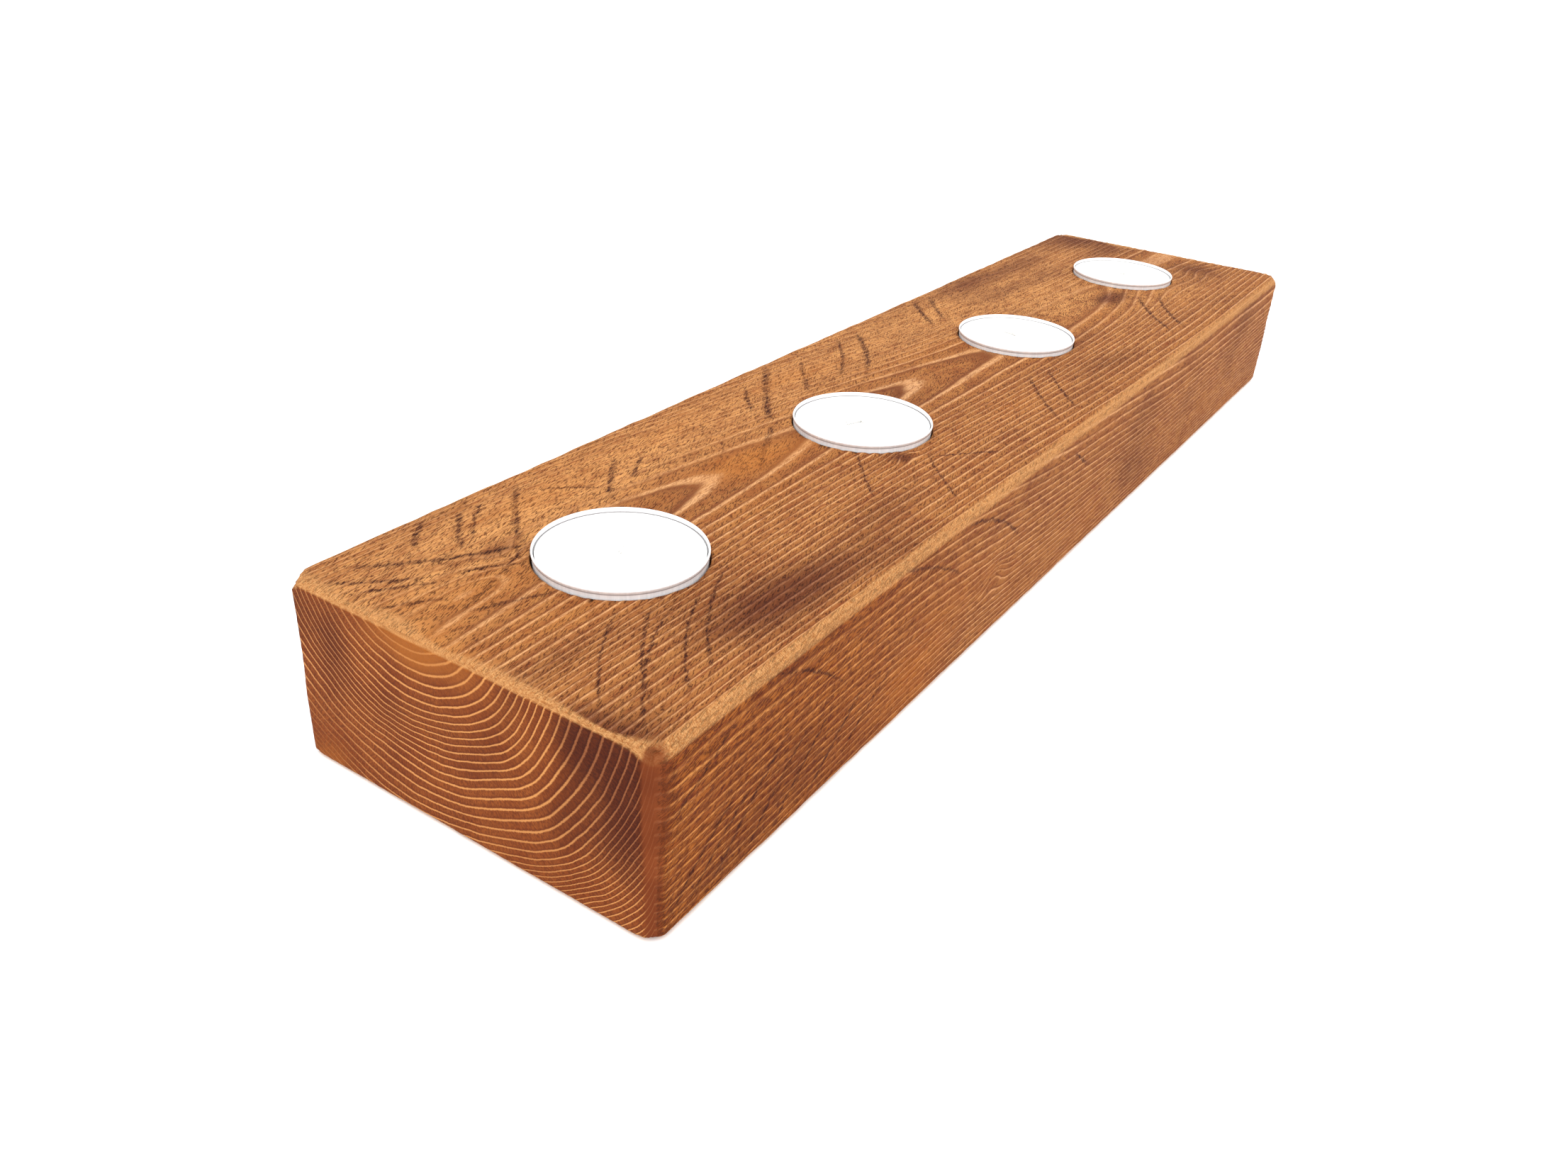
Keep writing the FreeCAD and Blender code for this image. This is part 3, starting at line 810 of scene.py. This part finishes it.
    colour = shader.mix(1.0, colour, (WOOD_DEPTH, WOOD_DEPTH, WOOD_DEPTH, 1.0), blend="MULTIPLY")

    # Fine relief and gloss.
    height = shader.math("MULTIPLY", line, shader.math("MULTIPLY", not_end, 0.06))
    height = shader.math("MULTIPLY_ADD", fibre, 0.10, height)
    height = shader.math("MULTIPLY_ADD", shader.math("MULTIPLY", torn, not_end), -0.18, height)
    shader.bump(height)
    shader.set(
        Base_Color=colour,
        Roughness=shader.remap(line, 0.0, 1.0, 0.78, 0.62),
        Specular_IOR_Level=0.13,
    )
    return shader.material


def metal_material(name, colour, roughness, metallic, streak_scale, painted_shade_height=None):
    """Drawn or rolled sheet metal with fine streaks, and a painted shade line under a folded bead, where the
    bead shades the wall.
    """
    shader = Shader(name)
    place = shader.place()
    streak = shader.noise(shader.stretch(place, streak_scale), detail=4.0, roughness=0.6)
    dark = tuple(0.88 * value for value in colour[:3]) + (1.0,)
    tint = shader.mix(shader.remap(streak, 0.3, 0.7), dark, colour)
    if painted_shade_height is not None:
        height = shader.node("ShaderNodeSeparateXYZ", place).outputs[2]
        off_painted_shade = shader.math("ABSOLUTE", shader.math("SUBTRACT", height, painted_shade_height))
        # Painted shade: a dark grey ring where the bead's underside would shade the wall.
        tint = shader.mix(shader.remap(off_painted_shade, 0.05, 0.2, 0.75, 0.0), tint, linear(120, 108, 108))
    shader.set(
        Base_Color=tint,
        Roughness=shader.remap(streak, 0.2, 0.8, roughness - 0.08, roughness + 0.1),
        Metallic=metallic,
    )
    shader.bump(shader.math("MULTIPLY", streak, 0.01))
    return shader.material


def wax_material():
    shader = Shader("candle_wax")
    place = shader.place()
    mottle = shader.noise(shader.stretch(place, (0.25, 0.25, 0.25)), detail=3.0)
    grains = shader.noise(shader.stretch(place, (2.5, 2.5, 2.5)), detail=3.0)
    shader.set(
        Base_Color=shader.mix(shader.remap(mottle, 0.3, 0.7), linear(246, 245, 243), linear(252, 252, 251)),
        Roughness=shader.remap(mottle, 0.2, 0.8, 0.34, 0.5),
        Subsurface_Weight=0.25,
        Subsurface_Radius=(1.0, 0.9, 0.8),
        Subsurface_Scale=0.002,
        IOR=1.44,
    )
    fine = shader.math("MULTIPLY", grains, 0.008)
    shader.bump(shader.math("ADD", shader.math("MULTIPLY", mottle, 0.05), fine))
    return shader.material


def wick_material():
    shader = Shader("wick_cotton")
    place = shader.place()
    lint = shader.noise(shader.stretch(place, (6.0, 6.0, 6.0)), detail=3.0)
    shader.set(
        Base_Color=shader.mix(shader.remap(lint, 0.3, 0.7), linear(232, 230, 224), linear(250, 249, 246)),
        Roughness=0.7,
        Sheen_Weight=0.2,
    )
    shader.bump(shader.math("MULTIPLY", lint, 0.05))
    return shader.material


def floor_material():
    shader = Shader("studio_floor")
    place = shader.place()
    tone = shader.noise(shader.stretch(place, (0.004, 0.004, 0.004)), detail=1.0)
    shader.set(
        Base_Color=shader.mix(tone, linear(250, 250, 250), linear(252, 252, 252)),
        Roughness=0.9,
        Specular_IOR_Level=0.1,
    )
    return shader.material


# ---------------------------------------------------------------- tealights

CUP_SHEET = 0.25
CUP_SEGMENTS = 160
CUP_BEAD = 0.3
CUP_WALL_INSET = 0.2
CUP_BASE_INSET = 0.5

# How high the painted shade line under the rolled bead lies.
CUP_PAINTED_SHADE_HEIGHT = 14.9

# The wick's cord and the three strands that it is wound from.
WICK_RADIUS = 0.65
WICK_BEND = 0.9
STRAND_TURN_LENGTH = 2.6
STRAND_OFFSET = 0.33
STRAND_RADIUS = 0.31
UP = np.array((0.0, 0.0, 1.0))


def outward_mesh(name, points, faces):
    """A smooth closed mesh from points in millimetres, with its faces turned outward."""
    mesh = bpy.data.meshes.new(name)
    mesh.from_pydata([tuple(v * MM for v in p) for p in points], [], faces)
    work = bmesh.new()
    work.from_mesh(mesh)
    bmesh.ops.recalc_face_normals(work, faces=work.faces)
    work.to_mesh(mesh)
    work.free()
    shade_smooth(mesh)
    return mesh


def revolve(name, profile, segments, shift=None):
    """A closed surface of revolution about the z axis.  shift(turn, radius, height) moves each point."""
    rows = []
    points = []
    for radius, height in profile:
        if radius < 1e-6:
            rows.append([len(points)])
            points.append((0.0, 0.0, height))
            continue
        rows.append(list(range(len(points), len(points) + segments)))
        for k in range(segments):
            turn = 2.0 * math.pi * k / segments
            r, z = shift(turn, radius, height) if shift else (radius, height)
            points.append((r * math.cos(turn), r * math.sin(turn), z))
    faces = []
    for lower, upper in zip(rows, rows[1:]):
        for k in range(segments):
            after = (k + 1) % segments
            loop = [lower[k % len(lower)], lower[after % len(lower)]]
            loop += [upper[after % len(upper)], upper[k % len(upper)]]
            faces.append(list(dict.fromkeys(loop)))
    return outward_mesh(name, points, faces)


def arc(centre, radius, start, end, count):
    """Points (radius, height) along an arc, with its angles in degrees."""
    turns = np.radians(np.linspace(start, end, count))
    return [(centre[0] + radius * math.cos(t), centre[1] + radius * math.sin(t)) for t in turns]


def cup_profile(radius, height):
    """Outside of the cup from the middle of its underside, over the rolled rim, and down its inside."""
    base = radius - CUP_BASE_INSET
    wall = radius - CUP_WALL_INSET
    outside = [(0.0, 0.4), (4.0, 0.4), (9.0, 0.4), (13.6, 0.4)]
    outside += [(14.0, 0.34), (14.5, 0.08), (14.9, 0.0), (17.2, 0.0)]
    outside += arc((base - 0.6, 0.6), 0.6, -80.0, 0.0, 6)
    for t in (0.12, 0.3, 0.5, 0.7, 0.85, 0.94, 1.0):
        outside.append((base + (wall - base) * t, 0.6 + (height - 1.75) * t))
    outside += [(wall + 0.02, height - 1.05), (radius - 0.22, height - 0.92), (radius - 0.05, height - 0.72)]
    rim = arc((radius - CUP_BEAD, height - 0.36), CUP_BEAD, 0.0, 90.0, 6)
    rim += arc((wall - 0.02, height - 0.22), 0.22, 80.0, 180.0, 6)
    inner_wall = wall - CUP_SHEET
    inner_base = base - CUP_SHEET
    inside = [(inner_wall, height - 0.9)]
    for t in (0.1, 0.35, 0.7, 1.0):
        inside.append((inner_wall + (inner_base - inner_wall) * t, height - 1.0 - (height - 1.6) * t))
    inside += arc((inner_base - 0.35, CUP_SHEET + 0.35), 0.35, -10.0, -90.0, 5)
    inside += [(15.2, CUP_SHEET), (14.8, 0.3), (14.1, 0.62)]
    inside += [(13.6, 0.65), (9.0, 0.65), (4.0, 0.65), (0.0, 0.65)]
    return outside + rim + inside


def make_cup(n, material):
    low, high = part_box(f"cup_{n}")
    radius = (high.x - low.x) / 2.0 / MM
    height = (high.z - low.z) / MM
    rng = np.random.default_rng(100 + n)
    phases = rng.uniform(0.0, 2.0 * math.pi, 6)

    def shift(turn, r, z):
        flute = 0.008 * math.sin(26 * turn + phases[0]) + 0.005 * math.sin(15 * turn + phases[1])
        dent = 0.030 * math.sin(3 * turn + phases[2]) + 0.018 * math.sin(7 * turn + phases[3])
        on_wall = float(smooth_step(z, 0.8, 3.0) * (1.0 - smooth_step(z, height - 1.6, height - 0.9)))
        inward = on_wall * (abs(flute) + 0.02 + dent * 0.5) if r > radius - 2.0 else 0.0
        return min(r - inward, radius), z

    mesh = revolve(f"aluminium_cup_{n}", cup_profile(radius, height), CUP_SEGMENTS, shift)
    piece = new_piece(f"aluminium_cup_{n}", mesh)
    piece.location = ((low.x + high.x) / 2.0, (low.y + high.y) / 2.0, low.z)
    mesh.materials.append(material)
    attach(piece, f"tealight_cup_{n}")
    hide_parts(f"cup_{n}")


def make_wax(n, material):
    """The CAD fill keeps its recess and bore: only its finish changes."""
    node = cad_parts[f"wax_{n}"]
    node.data.materials.clear()
    node.data.materials.append(material)


def wick_strand(path, frames, phase, sides=8):
    """One strand of the cord, wound round its path, as points and faces of a tube."""
    lengths = np.concatenate(([0.0], np.cumsum(np.linalg.norm(np.diff(path, axis=0), axis=1))))
    points = []
    for at, place, (normal, side) in zip(lengths, path, frames):
        wind = 2.0 * math.pi * at / STRAND_TURN_LENGTH + phase
        centre = place + STRAND_OFFSET * (math.cos(wind) * normal + math.sin(wind) * side)
        for k in range(sides):
            turn = 2.0 * math.pi * k / sides
            points.append(centre + STRAND_RADIUS * (math.cos(turn) * normal + math.sin(turn) * side))
    faces = []
    for row in range(len(path) - 1):
        for k in range(sides):
            after = (k + 1) % sides
            here, ahead = row * sides, (row + 1) * sides
            faces.append([here + k, here + after, ahead + after, ahead + k])
    faces.append(list(range(sides)))
    faces.append([(len(path) - 1) * sides + k for k in range(sides)])
    return points, faces


def lying_length(centre, heading, low, high):
    """How far the wick runs past its bend, from its box."""
    corner = Vector((high.x if heading.x > 0 else low.x, high.y if heading.y > 0 else low.y, 0.0)) / MM
    along = (corner - centre).xy
    axis = 0 if abs(heading.x) > abs(heading.y) else 1
    return (abs(along[axis]) - WICK_RADIUS * 0.9) / abs(heading[axis]) - WICK_BEND


def wick_path(n):
    """The wick's middle line, up the wax and then lying on it as the CAD wick does, and where it heads."""
    low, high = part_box(f"wick_{n}")
    centre = Vector(middle_of(f"cup_{n}"))
    lean = (Vector(middle_of(f"wick_{n}")) - centre).xy
    heading = Vector((lean.x, lean.y, 0.0)).normalized()
    forward = np.array(heading)
    bottom = low.z / MM
    start = np.array((centre.x, centre.y, bottom))
    rise = high.z / MM - WICK_RADIUS - WICK_BEND - bottom
    path = [start + UP * t for t in np.linspace(0.0, rise, 40)]
    hub = start + UP * rise + forward * WICK_BEND
    for turn in np.radians(np.linspace(0.0, 90.0, 14))[1:]:
        path.append(hub + WICK_BEND * (-math.cos(turn) * forward + math.sin(turn) * UP))
    length = lying_length(centre, heading, low, high)
    path += [hub + UP * WICK_BEND + forward * t for t in np.linspace(0.0, length, 24)[1:]]
    return np.array(path), forward


def make_wick(n, material):
    """A short three-strand cord wound along the wick's path."""
    path, forward = wick_path(n)
    tangent = np.gradient(path, axis=0)
    tangent /= np.linalg.norm(tangent, axis=1)[:, None]
    side = np.cross(UP, forward)
    frames = [(np.cross(side, t), side) for t in tangent]
    points, faces = [], []
    for strand in range(3):
        strand_points, strand_faces = wick_strand(path, frames, strand * 2.0 * math.pi / 3.0)
        faces += [[len(points) + v for v in face] for face in strand_faces]
        points += strand_points
    mesh = outward_mesh(f"cotton_wick_{n}", points, faces)
    mesh.materials.append(material)
    piece = new_piece(f"cotton_wick_{n}", mesh)
    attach(piece, f"candle_{n}")
    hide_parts(f"wick_{n}")


# ---------------------------------------------------------------- stage, light and camera

ROOM_BRIGHTNESS = 1.0
SUN_STRENGTH = 2.35
SUN_WIDTH = 50.0
SUN_TILT = (20.0, -25.0)

# Place in millimetres, turns in radians, sensor and lens in millimetres.
CAMERA_PLACE = (-325.18, -149.30, 168.83)
CAMERA_HEADING = -1.01232
CAMERA_TILT = 1.05146
CAMERA_ROLL = 0.06426
CAMERA_SENSOR = 36.0
CAMERA_LENS = 28.052


def make_stage():
    bpy.ops.mesh.primitive_plane_add(size=12.0, location=(0.0, 0.0, 0.0))
    floor = bpy.context.object
    floor.name = "studio_floor"
    floor.data.materials.append(floor_material())

    world = bpy.data.worlds.new("soft_white_room")
    world.use_nodes = True
    background = world.node_tree.nodes["Background"]
    background.inputs["Color"].default_value = (1.0, 1.0, 1.0, 1.0)
    background.inputs["Strength"].default_value = ROOM_BRIGHTNESS
    bpy.context.scene.world = world

    key = bpy.data.lights.new("overhead_key", "SUN")
    key.energy = SUN_STRENGTH
    key.angle = math.radians(SUN_WIDTH)
    lamp = bpy.data.objects.new("overhead_key", key)
    lamp.rotation_euler = (math.radians(SUN_TILT[0]), math.radians(SUN_TILT[1]), 0.0)
    bpy.context.scene.collection.objects.link(lamp)


def make_camera():
    data = bpy.data.cameras.new("photograph_view")
    data.sensor_fit = "HORIZONTAL"
    data.sensor_width = CAMERA_SENSOR
    data.lens = CAMERA_LENS
    data.clip_start = 0.01
    data.clip_end = 50.0
    camera = bpy.data.objects.new("photograph_view", data)
    turn = (
        Matrix.Rotation(CAMERA_HEADING, 4, "Z")
        @ Matrix.Rotation(CAMERA_TILT, 4, "X")
        @ Matrix.Rotation(CAMERA_ROLL, 4, "Z")
    )
    camera.matrix_world = Matrix.Translation(Vector(CAMERA_PLACE) * MM) @ turn
    bpy.context.scene.collection.objects.link(camera)
    bpy.context.scene.camera = camera


# ---------------------------------------------------------------- the whole scene

make_camera()
make_stage()

block = make_block()
block.data.materials.append(wood_material())
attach(block, "block")
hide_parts("timber_block")

aluminium = metal_material("cup_aluminium", (0.96, 0.96, 0.97, 1.0), 0.4, 0.06, (1.5, 1.5, 0.15), CUP_PAINTED_SHADE_HEIGHT)
steel = metal_material("sustainer_steel", (0.62, 0.62, 0.64, 1.0), 0.38, 1.0, (3.0, 0.4, 3.0))
wax = wax_material()
cotton = wick_material()
for n in TEALIGHTS:
    make_cup(n, aluminium)
    make_wax(n, wax)
    make_wick(n, cotton)
    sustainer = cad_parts[f"sustainer_{n}"].data.materials
    sustainer.clear()
    sustainer.append(steel)

scene = bpy.context.scene
scene.view_settings.view_transform = "Standard"
scene.view_settings.look = "None"
